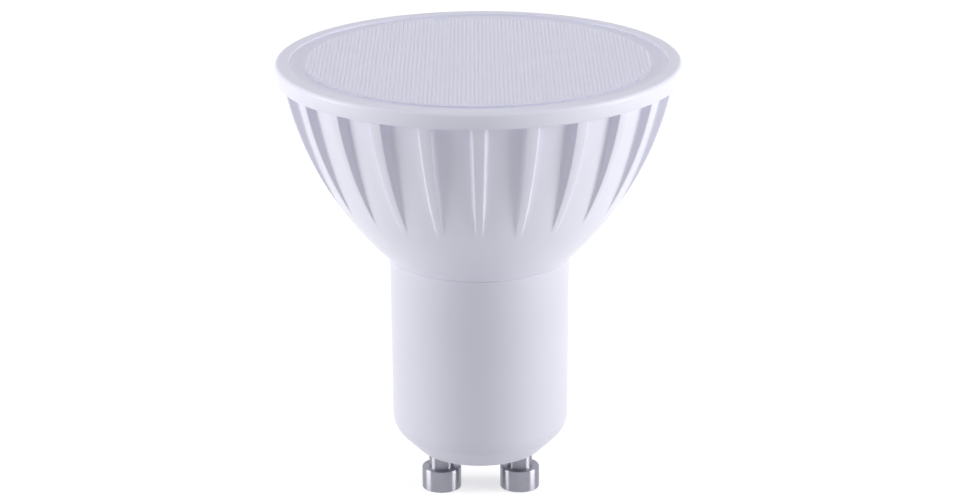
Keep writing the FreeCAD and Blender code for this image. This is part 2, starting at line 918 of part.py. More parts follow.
def electrolytic(label, side, y, name):
    """Capacitor can that stands upright along the board, with both legs bent into it."""
    radius, length, pitch, z = named_sizes(name, "radius", "length", "pitch", "low")
    body = new_body(label)
    sketch = new_sketch(body, "profile")
    groove = s.can_groove
    outline(
        sketch,
        [
            (0, 0),
            (radius - groove, 0),
            (radius, groove),
            (radius, groove * 4),
            (radius - groove, groove * 5),
            (radius - groove, groove * 6),
            (radius, groove * 7),
            (radius, length - groove),
            (radius - groove, length),
            (0, length),
        ],
    )
    turned(body, sketch)
    reach = radius + s.can_gap + s.driver_thickness + s.leg_stub
    drop = s.leg_bend + s.leg_radius
    for number, half in enumerate((pitch / 2, -pitch / 2)):
        points = [(0, groove), (0, -drop), (-reach * side, -drop)]
        wire(body, "leg_{}".format(number), points, s.leg_radius, s.leg_bend, half)
        leg_hole(y + half, z - drop, s.leg_radius, -side)
    body.setExpression("Placement.Base.x", ((s.board_half + s.can_gap + radius) * side).text)
    body.setExpression("Placement.Base.y", y.text)
    body.setExpression("Placement.Base.z", z.text)
    return body


def straight_legs(body, places, side, y, z, high):
    """Round legs that leave a part's underside and pass the board."""
    sketch = new_sketch(body, "legs", "XY_Plane", -s.driver_thickness - s.leg_stub)
    for up, across in places:
        ring(sketch, s.leg_radius, up, across)
        leg_hole(y - Size.of(across) * side, z + Size.of(up), s.leg_radius, -side)
    return padded(body, sketch, s.driver_thickness + s.leg_stub + high)


def film_capacitor(side, y, z):
    body = new_body("film_capacitor")
    case = new_sketch(body, "case", "XY_Plane", s.fit_gap)
    half_length = s.film_length / 2
    half_width = s.film_width / 2
    block(case, -half_length, -half_width, half_length, half_width)
    box = padded(body, case, s.film_height)
    dip = body.newObject("PartDesign::Fillet", "film_case_round")
    dip.Base = (box, [""])
    dip.UseAllEdges = True
    dip.setExpression("Radius", s.film_round.text)
    pitch = s.film_length / 2 - s.film_round * 2
    straight_legs(body, [(pitch, 0), (-pitch, 0)], side, y, z, s.film_height / 2)
    stand_off_board(body, side, y, z)
    return body


def filter_choke(side, y, z):
    """Wound drum core."""
    body = new_body("filter_choke")
    sketch = new_sketch(body, "profile")
    flange = s.choke_flange
    top = s.fit_gap + s.choke_height
    outline(
        sketch,
        [
            (0, s.fit_gap),
            (s.choke_radius, s.fit_gap),
            (s.choke_radius, s.fit_gap + flange),
            (s.choke_radius - s.choke_waist, s.fit_gap + flange),
            (s.choke_radius - s.choke_waist, top - flange),
            (s.choke_radius, top - flange),
            (s.choke_radius, top),
            (0, top),
        ],
    )
    turned(body, sketch)
    pitch = s.choke_radius / 2
    straight_legs(body, [(0, pitch), (0, -pitch)], side, y, z, s.choke_height / 2)
    stand_off_board(body, side, y, z)
    return body


def inductor_core(side, y, z):
    """Ferrite core with two windows round the coil."""
    body = new_body("inductor_core")
    frame = new_sketch(body, "frame", "XZ_Plane")
    low = s.fit_gap
    high = low + s.core_height
    half = s.core_length / 2
    block(frame, -half, low, half, high)
    limb = s.core_limb
    block(frame, limb, low + limb, half - limb, high - limb)
    block(frame, limb - half, low + limb, -limb, high - limb)
    pad = padded(body, frame, s.core_width)
    pad.Midplane = True
    stand_off_board(body, side, y, z)
    return body


def inductor_coil(side, y, z):
    """Bobbin and winding round the core's middle limb, with its four pins."""
    body = new_body("inductor_coil")
    low = s.fit_gap + s.core_limb + s.fit_gap
    height = s.core_height - s.core_limb * 2 - s.fit_gap * 2
    winding = new_sketch(body, "winding", "XY_Plane", low)
    inner_x = s.core_limb + s.fit_gap
    inner_y = s.core_width / 2 + s.fit_gap
    outer_x = s.core_length / 2 - s.core_limb - s.fit_gap
    outer_y = inner_y + (outer_x - inner_x)
    block(winding, -inner_x, -inner_y, inner_x, inner_y)
    block(winding, -outer_x, -outer_y, outer_x, outer_y)
    padded(body, winding, height)
    feet = new_sketch(body, "feet", "XY_Plane", s.fit_gap)
    block(feet, -outer_x, inner_y, outer_x, outer_y)
    block(feet, -outer_x, -outer_y, outer_x, -inner_y)
    padded(body, feet, low - s.fit_gap + height / 4)
    across = (inner_y + outer_y) / 2
    up = outer_x - s.leg_radius * 2
    places = [(up, across), (-up, across), (up, -across), (-up, -across)]
    straight_legs(body, places, side, y, z, s.core_limb)
    stand_off_board(body, side, y, z)
    return body


def surface_chip(label, side, y, name, terminals):
    """A moulded package on the board's face; its terminals stick out to both sides."""
    length, width, height, reach, rise = named_sizes(name, "length", "width", "height", "reach", "rise")
    z = s.floor_top + rise
    body = new_body(label)
    case = new_sketch(body, "case", "XY_Plane", s.fit_gap)
    block(case, -length / 2, -width / 2, length / 2, width / 2)
    padded(body, case, height)
    feet = new_sketch(body, "feet", "XY_Plane", Size.of(0))
    pitch = length / terminals
    half = pitch / 5
    for number in range(terminals):
        middle = pitch * (number - (terminals - 1) / 2)
        block(feet, middle - half, -width / 2 - reach, middle + half, width / 2 + reach)
    padded(body, feet, s.terminal_height)
    stand_off_board(body, side, y, z)
    return body


def chip_resistors(side, y, z):
    """A row of small chip resistors on the board's face."""
    body = new_body("chip_resistors")
    sketch = new_sketch(body, "first", "XY_Plane", Size.of(0))
    half_length = s.resistor_length / 2
    half_width = s.resistor_width / 2
    block(sketch, -half_width, -half_length, half_width, half_length)
    first = padded(body, sketch, s.resistor_height)
    row = body.newObject("PartDesign::LinearPattern", "resistor_row")
    row.Originals = [first]
    row.Direction = (origin_part(body, "X_Axis"), [""])
    row.setExpression("Length", (s.resistor_pitch * (s.resistor_count - 1)).text)
    row.Occurrences = int(s.resistor_count.value)
    row.setExpression("Occurrences", s.resistor_count.text)
    body.Tip = row
    stand_off_board(body, side, y, z)
    return body


def driver_board():
    body = new_body("driver_board")
    sketch = new_sketch(body, "outline", "YZ_Plane")
    half = s.neck_bore - s.driver_edge_gap
    clip = s.bore_bevel + s.driver_edge_gap
    outline(
        sketch,
        [
            (-half + clip, s.floor_top),
            (half - clip, s.floor_top),
            (half, s.floor_top + clip),
            (half, s.driver_top),
            (-half, s.driver_top),
            (-half, s.floor_top + clip),
        ],
    )
    for y, z, radius, exit_side in LEG_HOLES:
        ring(sketch, radius + s.fit_gap, y, z)
    pad = padded(body, sketch, s.driver_thickness)
    pad.Midplane = True
    return body


def solder_joints():
    """A collar of solder round each leg where it comes out of the board."""
    body = new_body("solder_joints")
    for side, name, start in (
        (RIGHT, "right", s.board_half),
        (LEFT, "left", -s.board_half - s.solder_height),
    ):
        sketch = new_sketch(body, name, "YZ_Plane", start)
        for y, z, radius, exit_side in LEG_HOLES:
            if exit_side == side:
                ring(sketch, radius + s.solder_rim, y, z)
                ring(sketch, radius + s.fit_gap, y, z)
        padded(body, sketch, s.solder_height)
    return body


PARTS = [
    ribbed_housing(),
    base_neck(),
    lens(),
    contact_pin("pin_left", LEFT),
    contact_pin("pin_right", RIGHT),
    heat_spreader(),
    drilled_disc("thermal_pad", s.pad_radius, s.dish_floor, s.pad_thickness),
    drilled_disc("led_board", s.led_board_radius, s.board_seat, s.led_board_thickness),
    led_chips(),
    board_screws(),
    lead_bush(),
    mains_lead(),
    fuse_resistor(),
    led_lead("led_lead_positive", RIGHT),
    led_lead("led_lead_negative", LEFT),
    electrolytic("bulk_capacitor", RIGHT, MIDDLE, "bulk"),
    electrolytic("output_capacitor", LEFT, s.output_side, "output"),
    film_capacitor(RIGHT, s.film_side, s.floor_top + s.film_rise),
    filter_choke(RIGHT, s.choke_side, s.floor_top + s.choke_rise),
    inductor_core(LEFT, MIDDLE, s.inductor_middle),
    inductor_coil(LEFT, MIDDLE, s.inductor_middle),
    surface_chip("bridge_rectifier", LEFT, s.chip_side, "bridge", 2),
    surface_chip("driver_chip", LEFT, s.chip_side, "controller", 4),
    surface_chip("flyback_diode", RIGHT, s.diode_side, "diode", 1),
    chip_resistors(LEFT, s.resistor_side, s.floor_top + s.resistor_rise),
    driver_board(),
    solder_joints(),
]

doc.recompute()
problems = []
for item in doc.Objects:
    if "Invalid" in item.State or "Error" in item.State:
        problems.append("{} {}".format(item.Name, item.State))
for item in PARTS:
    if item.Shape.isNull() or not item.Shape.isValid():
        problems.append("{} has no sound shape".format(item.Label))
if problems:
    raise RuntimeError("; ".join(problems))

os.makedirs("parts", exist_ok=True)
for item in PARTS:
    item.Shape.exportStep("parts/{}.step".format(item.Label))
    print(item.Label, round(item.Shape.Volume, 2), len(item.Shape.Solids))
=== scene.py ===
import math

import bmesh
import bpy
from bpy.props import FloatProperty, FloatVectorProperty, IntProperty, PointerProperty
from bpy.types import Operator, Panel, PropertyGroup
from mathutils import Matrix, Vector


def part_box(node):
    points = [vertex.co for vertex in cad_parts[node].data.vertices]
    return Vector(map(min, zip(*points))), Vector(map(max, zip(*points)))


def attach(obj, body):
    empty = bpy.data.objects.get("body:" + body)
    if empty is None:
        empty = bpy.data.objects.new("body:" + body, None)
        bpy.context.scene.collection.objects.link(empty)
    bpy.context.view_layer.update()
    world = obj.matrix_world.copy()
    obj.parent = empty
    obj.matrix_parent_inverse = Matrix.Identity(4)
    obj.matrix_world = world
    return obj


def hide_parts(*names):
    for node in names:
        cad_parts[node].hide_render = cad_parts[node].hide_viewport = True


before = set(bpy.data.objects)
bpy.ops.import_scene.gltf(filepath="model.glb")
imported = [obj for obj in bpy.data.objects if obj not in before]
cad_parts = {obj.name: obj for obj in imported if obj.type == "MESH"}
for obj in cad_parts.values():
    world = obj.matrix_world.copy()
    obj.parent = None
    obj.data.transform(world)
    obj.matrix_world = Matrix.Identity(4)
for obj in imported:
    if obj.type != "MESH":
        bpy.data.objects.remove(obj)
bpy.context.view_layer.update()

bl_info = {
    "name": "Ribbed Spotlight Lamp",
    "version": (1, 0, 0),
    "blender": (4, 5, 0),
    "location": "View3D > Sidebar > Spotlight",
    "description": "Dresses a twin-pin spotlight lamp with a ribbed bowl and a prismatic lens",
    "category": "Add Mesh",
}

MM = 0.001

# Boxes of the solids that the finer pieces stand in for
housing_low, housing_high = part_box("ribbed_housing")
neck_low, neck_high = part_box("base_neck")
lens_low, lens_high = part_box("lens")
pin_low, pin_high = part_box("pin_left")

# Sizes that two pieces share, so that they seat on each other
SKIRT_INSET = 1.4 * MM
SPIGOT_DEPTH = 0.65 * MM
BOSS_HEIGHT = 1.5 * MM

# Gap that the bowl leaves round the pieces seated in it
FIT = 0.05 * MM

# Radii of the two rings of LED packages
CHIP_RINGS = (14.0 * MM, 7.2 * MM)

# Point that every softbox faces
LIT_POINT = Vector((0.0, 0.0, 0.035))


# Settings

def length(name, description, default):
    return FloatProperty(
        name=name, description=description, default=default, unit="LENGTH", precision=5
    )


def number(name, description, default):
    return FloatProperty(name=name, description=description, default=default)


def whole(name, description, default, least):
    return IntProperty(name=name, description=description, default=default, min=least)


def power(name, description, default):
    return FloatProperty(name=name, description=description, default=default, unit="POWER")


def angle(name, description, degrees):
    return FloatProperty(
        name=name, description=description, default=math.radians(degrees), unit="ROTATION"
    )


def colour(name, description, default):
    return FloatVectorProperty(
        name=name,
        description=description,
        default=default,
        size=3,
        subtype="COLOR",
        min=0.0,
        max=1.0,
    )


class BowlSettings(PropertyGroup):
    """Sizes of the ribbed bowl"""

    band_height: length("Band height", "Height of the plain band round the rim", 2.05 * MM)
    band_step: length("Band step", "How far the band stands out from the ribs", 0.71 * MM)
    band_round: length("Band rounding", "Radius on the lower edge of the band", 0.16 * MM)
    rim_round: length("Rim rounding", "Radius on the outer edge of the rim", 0.50 * MM)
    pocket_round: length("Pocket rounding", "Radius on the inner edge of the rim", 0.10 * MM)
    pocket_depth: length("Pocket depth", "Depth of the lens pocket below the rim", 1.62 * MM)
    socket_depth: length("Socket depth", "Depth of the socket that takes the neck", 3.1 * MM)
    socket_flare: length("Socket flare", "How far the inside widens over the socket", 1.0 * MM)
    curve: length("Bowl curve", "Radius of the arc that the bowl follows", 44.6 * MM)
    foot_radius: length("Foot radius", "Radius of the bowl where it meets the neck", 11.25 * MM)
    rib_drop: length("Rib drop", "Height that the ribs run down from the band", 15.4 * MM)
    rib_depth: length("Rib depth", "Depth of the panels between ribs, under the band", 1.12 * MM)
    rib_half: length("Rib half width", "Half the width of a rib's face under the band", 0.77 * MM)
    rib_tip_half: length("Rib tip half width", "Half the width of a rib at its tip", 0.30 * MM)
    rib_round: length("Rib rounding", "Radius on a rib's edges", 0.16 * MM)
    root_round: length("Root rounding", "Radius between a rib and its panel", 0.35 * MM)
    rib_count: whole("Ribs", "Number of ribs round the bowl", 24, 6)
    half_columns: whole("Half columns", "Mesh columns from rib middle to panel middle", 12, 12)
    rows: whole("Rows", "Mesh rows from the neck to the band", 46, 12)


class NeckSettings(PropertyGroup):
    """Sizes of the neck"""

    foot_radius: length("Foot radius", "Radius of the neck above its rounded foot", 11.1 * MM)
    foot_bevel: length("Foot bevel", "Size of the slope round the foot", 3.2 * MM)
    foot_round: length("Foot rounding", "Radius between the slope and the wall", 2.9 * MM)
    base_round: length("Base rounding", "Radius between the slope and the base", 0.5 * MM)
    wall: length("Wall", "Thickness of the neck's wall", 1.2 * MM)
    floor: length("Floor", "Thickness of the neck's floor", 2.2 * MM)
    bore_bevel: length("Bore bevel", "Slope between the floor and the wall inside", 1.9 * MM)
    seam_round: length("Seam rounding", "Radius on the neck's edge under the bowl", 0.14 * MM)
    boss_radius: length("Boss radius", "Radius of the seats that the pins are riveted on", 2.9 * MM)
    boss_sink: length("Boss sink", "How far the seats reach into the floor", 0.5 * MM)
    rail_height: length("Rail height", "Height of the rails that hold the driver board", 18.0 * MM)
    rail_width: length("Rail width", "Width of the rails along the board", 2.0 * MM)
    rail_thickness: length("Rail thickness", "Thickness of the rails across the board", 1.1 * MM)
    rail_inset: length("Rail inset", "How far the rails' middle is from the wall", 0.6 * MM)


class LensSettings(PropertyGroup):
    """Sizes of the lens"""

    margin: length("Margin", "How far the lens reaches past its solid", 0.04 * MM)
    border: length("Border", "Width of the plain border round the prisms", 1.85 * MM)
    border_thickness: length("Border thickness", "Thickness of the border", 1.2 * MM)
    border_round: length("Border rounding", "Radius on the border's outer edge", 0.05 * MM)
    recess: length("Recess", "Depth of the border's outer edge below the rim", 0.32 * MM)
    slope: length("Slope", "How much deeper the border is beside the prisms", 0.08 * MM)
    thickness: length("Thickness", "Thickness of the raised disc", 1.3 * MM)
    skirt_thickness: length("Skirt thickness", "Thickness of the skirt in the bowl", 0.9 * MM)
    prism_pitch: length("Prism pitch", "Distance between neighbouring prisms", 0.5 * MM)
    prism_height: length("Prism height", "Height of each prism", 0.15 * MM)
    prism_gap: length("Prism gap", "How far the disc's top lies below the prisms", 0.01 * MM)
    prism_sink: length("Prism sink", "How far the prisms' slab reaches into the disc", 0.2 * MM)


class PinSettings(PropertyGroup):
    """Sizes of the contact pins"""

    head_height: length("Head height", "Height of a pin's head", 2.85 * MM)
    post_radius: length("Post radius", "Radius of the post between head and neck", 1.6 * MM)
    shank_radius: length("Shank radius", "Radius of the shank in the neck's floor", 1.3 * MM)
    rivet_radius: length("Rivet radius", "Radius of the riveted flange", 2.0 * MM)
    rivet_thickness: length("Rivet thickness", "Thickness of the riveted flange", 0.5 * MM)
    tail_radius: length("Tail radius", "Radius of the tail that takes the lead", 1.0 * MM)
    bore_radius: length("Bore radius", "Radius of the hole in the tail", 0.4 * MM)
    edge_round: length("Edge rounding", "Radius on the head's edges", 0.12 * MM)
    spacing: length("Spacing", "Distance between the two pins", 10.0 * MM)


class FinishSettings(PropertyGroup):
    """Colours and roughness of what shows from outside"""

    bowl: colour("Bowl", "Colour of the bowl's plastic", (0.76, 0.76, 0.875))
    # Painted shade: the neck is the bowl's white plastic made about a tenth darker, for the shade
    # that it gets under the bowl.
    neck: colour("Neck", "Colour of the neck's plastic", (0.68, 0.68, 0.785))
    lens: colour("Lens", "Colour of the lens", (0.77, 0.77, 0.89))
    nickel: colour("Nickel", "Colour of the contact pins", (0.335, 0.335, 0.38))
    roughness: number("Roughness", "Roughness of the bowl, the neck and the lens", 0.32)


class StageSettings(PropertyGroup):
    """Light and camera"""

    side_power: power("Side power", "Power of the right softbox", 1.49)
    side_balance: number("Side balance", "Power of the left softbox over the right one's", 0.88)
    front_power: power("Front power", "Power of the softbox behind the camera", 0.03)
    top_power: power("Top power", "Power of the softbox overhead", 1.09)
    fill: number("Fill", "Brightness of the room around the object", 0.305)
    camera_pitch: angle("Camera pitch", "How far the camera looks down", 18.39)
    camera_roll: angle("Camera roll", "How far the camera leans to one side", -0.35)
    camera_distance: length("Camera distance", "Distance from the camera to its target", 359.5 * MM)
    camera_aim: length("Camera aim", "Height of the point that the camera looks at", 31.93 * MM)
    camera_side: length("Camera side", "How far right of the middle the camera is", -0.24 * MM)
    focal_length: number("Focal length", "Camera lens in millimetres", 108.16)


class SpotlightSettings(PropertyGroup):
    """All settings of the lamp"""

    bowl: PointerProperty(type=BowlSettings)
    neck: PointerProperty(type=NeckSettings)
    lens: PointerProperty(type=LensSettings)
    pins: PointerProperty(type=PinSettings)
    finish: PointerProperty(type=FinishSettings)
    stage: PointerProperty(type=StageSettings)


# Node trees

class Value:
    """One value in a node tree; arithmetic on it adds Math nodes."""

    def __init__(self, nodes, socket):
        self.nodes = nodes
        self.socket = socket

    def output(self, name):
        """Another output of the same node."""
        return Value(self.nodes, self.socket.node.outputs[name])

    def __add__(self, other):
        return self.nodes.math("ADD", self, other)

    def __radd__(self, other):
        return self.nodes.math("ADD", other, self)

    def __sub__(self, other):
        return self.nodes.math("SUBTRACT", self, other)

    def __rsub__(self, other):
        return self.nodes.math("SUBTRACT", other, self)

    def __mul__(self, other):
        return self.nodes.math("MULTIPLY", self, other)

    def __rmul__(self, other):
        return self.nodes.math("MULTIPLY", other, self)

    def __gt__(self, other):
        return self.nodes.math("GREATER_THAN", self, other)

    def __lt__(self, other):
        return self.nodes.math("LESS_THAN", self, other)


class Nodes:
    """A node tree that nodes are added to."""

    def __init__(self, tree):
        self.tree = tree

    def add(self, kind, settings=None, inputs=None, output=0):
        """Add a node: its settings first, then its sockets' values or links."""
        made = self.tree.nodes.new(kind)
        for key, value in (settings or {}).items():
            setattr(made, key, value)
        for key, value in (inputs or {}).items():
            if isinstance(value, Value):
                self.link(value, made.inputs[key])
            else:
                made.inputs[key].default_value = value
        return Value(self, made.outputs[output])

    def link(self, value, socket):
        self.tree.links.new(value.socket, socket)

    def math(self, operation, *values):
        return self.add("ShaderNodeMath", {"operation": operation}, dict(enumerate(values)))

    def seen(self):
        """1 for camera, glossy and transmission rays, and 0 for the diffuse ones that light."""
        camera = self.add("ShaderNodeLightPath", output="Is Camera Ray")
        rays = camera + camera.output("Is Glossy Ray") + camera.output("Is Transmission Ray")
        return self.math("MINIMUM", rays, 1.0)


class Finish(Nodes):
    """A procedural material; its sockets take constants, and what varies is linked to a few."""

    def __init__(self, name, constants):
        self.material = bpy.data.materials.new(name)
        self.material.use_nodes = True
        super().__init__(self.material.node_tree)
        self.shader = self.tree.nodes["Principled BSDF"]
        for key, value in constants.items():
            self.shader.inputs[key].default_value = value

    def vary(self, socket, value):
        self.link(value, self.shader.inputs[socket])

    def place(self, stretch=(1.0, 1.0, 1.0), centre=(0.0, 0.0, 0.0)):
        """Object coordinates, moved to a centre and stretched."""
        at = self.add("ShaderNodeTexCoord", output="Object")
        moved = tuple(-middle * scale for middle, scale in zip(centre, stretch))
        inputs = {"Vector": at, "Location": moved, "Scale": stretch}
        return self.add("ShaderNodeMapping", inputs=inputs)

    def noise(self, size, detail=3.0, at=None):
        """Noise from 0 to 1 whose features are about a given size."""
        inputs = {"Vector": at or self.place(), "Scale": 1 / size, "Detail": detail}
        return self.add("ShaderNodeTexNoise", inputs=inputs)

    def mix(self, factor, low, high):
        """A colour between two, as the factor goes from 0 to 1."""
        return self.add("ShaderNodeMix", {"data_type": "RGBA"}, {0: factor, 6: low, 7: high}, 2)

    def bump(self, height, distance):
        inputs = {"Height": height, "Distance": distance}
        self.vary("Normal", self.add("ShaderNodeBump", inputs=inputs))


def shade(base, factor):
    """A colour made darker or lighter, as the node sockets take it."""
    return tuple(min(part * factor, 1.0) for part in base) + (1.0,)


def grey(level):
    return (level, level, level, 1.0)


# Materials

def moulded_finish(name, base, roughness, grain=2 * MM, relief=0.0):
    """Moulded plastic: faint clouding from the melt, and patches that the mould polished less."""
    finish = Finish(name, {"Roughness": roughness, "Specular IOR Level": 0.22})
    clouds = finish.noise(9 * MM, 2.0)
    texture = finish.noise(grain, 1.0)
    finish.vary("Base Color", finish.mix(clouds, shade(base, 0.985), shade(base, 1.015)))
    finish.vary("Roughness", roughness + (texture - 0.5) * 0.06)
    if relief:
        finish.bump(texture, relief)
    return finish.material


def plated_finish(name, base, centre):
    """Polished plating with the faint turned rings left by the lathe."""
    constants = {"Metallic": 1.0, "Anisotropic": 1.0, "Anisotropic Rotation": 0.25}
    finish = Finish(name, constants)
    at = finish.place(centre=centre)
    rings = finish.noise(0.2 * MM, 2.0, finish.place(stretch=(0.04, 0.04, 1.0), centre=centre))
    clouds = finish.noise(1.6 * MM, 3.0, at)
    finish.vary("Base Color", finish.mix(clouds, shade(base, 0.94), shade(base, 1.05)))
    finish.vary("Roughness", 0.325 + rings * 0.03 + clouds * 0.02)
    finish.bump(rings, 0.002 * MM)
    return finish.material


def metal_finish(name, base, roughness, stretch=(1.0, 1.0, 1.0)):
    """Bare metal with drawn or pressed streaks."""
    finish = Finish(name, {"Metallic": 1.0})
    streaks = finish.noise(0.3 * MM, 3.0, finish.place(stretch))
    finish.vary("Base Color", finish.mix(streaks, shade(base, 0.9), shade(base, 1.05)))
    finish.vary("Roughness", roughness + (streaks - 0.5) * 0.15)
    finish.bump(streaks, 0.002 * MM)
    return finish.material


def phosphor_finish(name):
    """White packages with a yellow window in the middle of each."""
    finish = Finish(name, {"Roughness": 0.35})
    x = finish.add("ShaderNodeSeparateXYZ", inputs={0: finish.place()}, output="X")
    y, height = x.output("Y"), x.output("Z")
    radius = finish.math("SQRT", x * x + y * y)
    away = [finish.math("ABSOLUTE", radius - ring) for ring in CHIP_RINGS]
    near_ring = finish.math("MINIMUM", *away) < 1.0 * MM
    on_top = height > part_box("led_chips")[1].z - 0.05 * MM
    window = near_ring * on_top
    speckle = finish.noise(0.1 * MM)
    yellow = finish.mix(speckle, (0.86, 0.70, 0.10, 1.0), (0.92, 0.80, 0.22, 1.0))
    white = finish.mix(speckle, (0.86, 0.86, 0.84, 1.0), (0.92, 0.92, 0.90, 1.0))
    finish.vary("Base Color", finish.mix(window, white, yellow))
    return finish.material


# Modelling

def wire_outline(mesh, corners):
    """Join corners, each a radius and a height, into a run of edges in the plane of the front."""
    verts = [mesh.verts.new((0.0, -radius, height)) for radius, height in corners]
    for start, end in zip(verts, verts[1:]):
        mesh.edges.new((start, end))
    return verts


def round_corner(mesh, vert, radius, segments=4):
    """Turn one corner of a wire into an arc."""
    ways = [edge.other_vert(vert).co - vert.co for edge in vert.link_edges]
    bmesh.ops.bevel(
        mesh,
        geom=[vert],
        offset=radius / math.tan(ways[0].angle(ways[1]) / 2),
        offset_type="OFFSET",
        affect="VERTICES",
        segments=segments,
        profile=0.5,
        material=-1,
    )


def spin_round(mesh, steps):
    """Turn the wire once round the lamp's axis and close it."""
    bmesh.ops.spin(
        mesh,
        geom=mesh.verts[:] + mesh.edges[:],
        cent=(0.0, 0.0, 0.0),
        axis=(0.0, 0.0, 1.0),
        angle=math.tau,
        steps=steps,
        use_merge=True,
    )
    bmesh.ops.remove_doubles(mesh, verts=mesh.verts, dist=0.0005 * MM)
    bmesh.ops.recalc_face_normals(mesh, faces=mesh.faces)


def make_piece(mesh, name, material, node, sharp=math.radians(32.0)):
    """Put a finished mesh in the scene in place of a node of the frame."""
    data = bpy.data.meshes.new(name)
    mesh.to_mesh(data)
    mesh.free()
    data.shade_smooth()
    data.set_sharp_from_angle(angle=sharp)
    data.materials.append(material)
    piece = bpy.data.objects.new(name, data)
    bpy.context.scene.collection.objects.link(piece)
    shading = piece.modifiers.new("Even shading", "WEIGHTED_NORMAL")
    shading.keep_sharp = True
    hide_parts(node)
    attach(piece, "root")


def arc_middle(low, high, radius):
    """Centre, as radius and height, of the arc from low to high that bulges outwards."""
    run, rise = high[0] - low[0], high[1] - low[1]
    span = math.hypot(run, rise)
    reach = math.sqrt(radius * radius - span * span / 4) / span
    return (low[0] + high[0]) / 2 - reach * rise, (low[1] + high[1]) / 2 + reach * run


def between(low, high, parts):
    return [low + (high - low) * part for part in parts]


class RibSection:
    """Shape of one rib and half a panel, at any height."""

    slant = 0.25  # how far a rib's wall leans out for each unit of depth
    taper = 0.6  # power that the rib widens by from its tip
    settling = 0.14  # share of the rib's length in which the mesh columns close in on it
    edge_parts = (0.36, 0.7, 1.0)
    root_parts = (0.0, 0.2, 0.45, 0.72, 1.0)

    def __init__(self, sizes, top):
        self.sizes = sizes
        self.low = top - sizes.rib_drop

    def share(self, height):
        return (height - self.low) / self.sizes.rib_drop

    def panel_depth(self, share):
        return self.sizes.rib_depth * math.sin(share * math.pi / 2)

    def half_width(self, share):
        """Half the width of the rib's face."""
        sizes = self.sizes
        return sizes.rib_tip_half + (sizes.rib_half - sizes.rib_tip_half) * share ** self.taper

    def radii(self, depth):
        """Radii of the rib's edge and root, small enough for the wall between them."""
        sizes = self.sizes
        part = min(1.0, depth / (sizes.rib_round + sizes.root_round))
        return sizes.rib_round * part, sizes.root_round * part

    def bends(self, share):
        """Where the edge's arc starts and ends, and where the root's arc does."""
        depth = self.panel_depth(share)
        edge, root = self.radii(depth)
        lean = math.hypot(self.slant, 1.0)
        before = lean - self.slant
        after = before * self.slant / lean
        half = self.half_width(share)
        foot = half + self.slant * depth
        return half - edge * before, half + edge * after, foot - root * after, foot + root * before

    def depth_at(self, across, height):
        """Depth below the bowl at a distance from the rib's middle."""
        share = self.share(height)
        if share <= 0:
            return 0.0
        depth = self.panel_depth(share)
        edge, root = self.radii(depth)
        start, end, root_start, root_end = self.bends(share)
        if across <= start:
            return 0.0
        if across < end:
            return edge - math.sqrt(edge * edge - (across - start) ** 2)
        if across < root_start:
            return (across - self.half_width(share)) / self.slant
        if across < root_end:
            return depth - root + math.sqrt(root * root - (root_end - across) ** 2)
        return depth

    def columns(self, height, reach):
        """Places of the mesh columns from the rib's middle to the panel's."""
        count = self.sizes.half_columns
        even = [reach * number / count for number in range(count + 1)]
        share = self.share(height)
        if share <= 0:
            return even
        start, end, root_start, root_end = self.bends(share)
        close = [0.0, start]
        close += between(start, end, self.edge_parts)
        close += between(root_start, root_end, self.root_parts)
        left = count + 1 - len(close)
        close += between(root_end, reach, [(number + 1) / left for number in range(left)])
        blend = min(share / self.settling, 1.0)
        return [wide + (near - wide) * blend for wide, near in zip(even, close)]


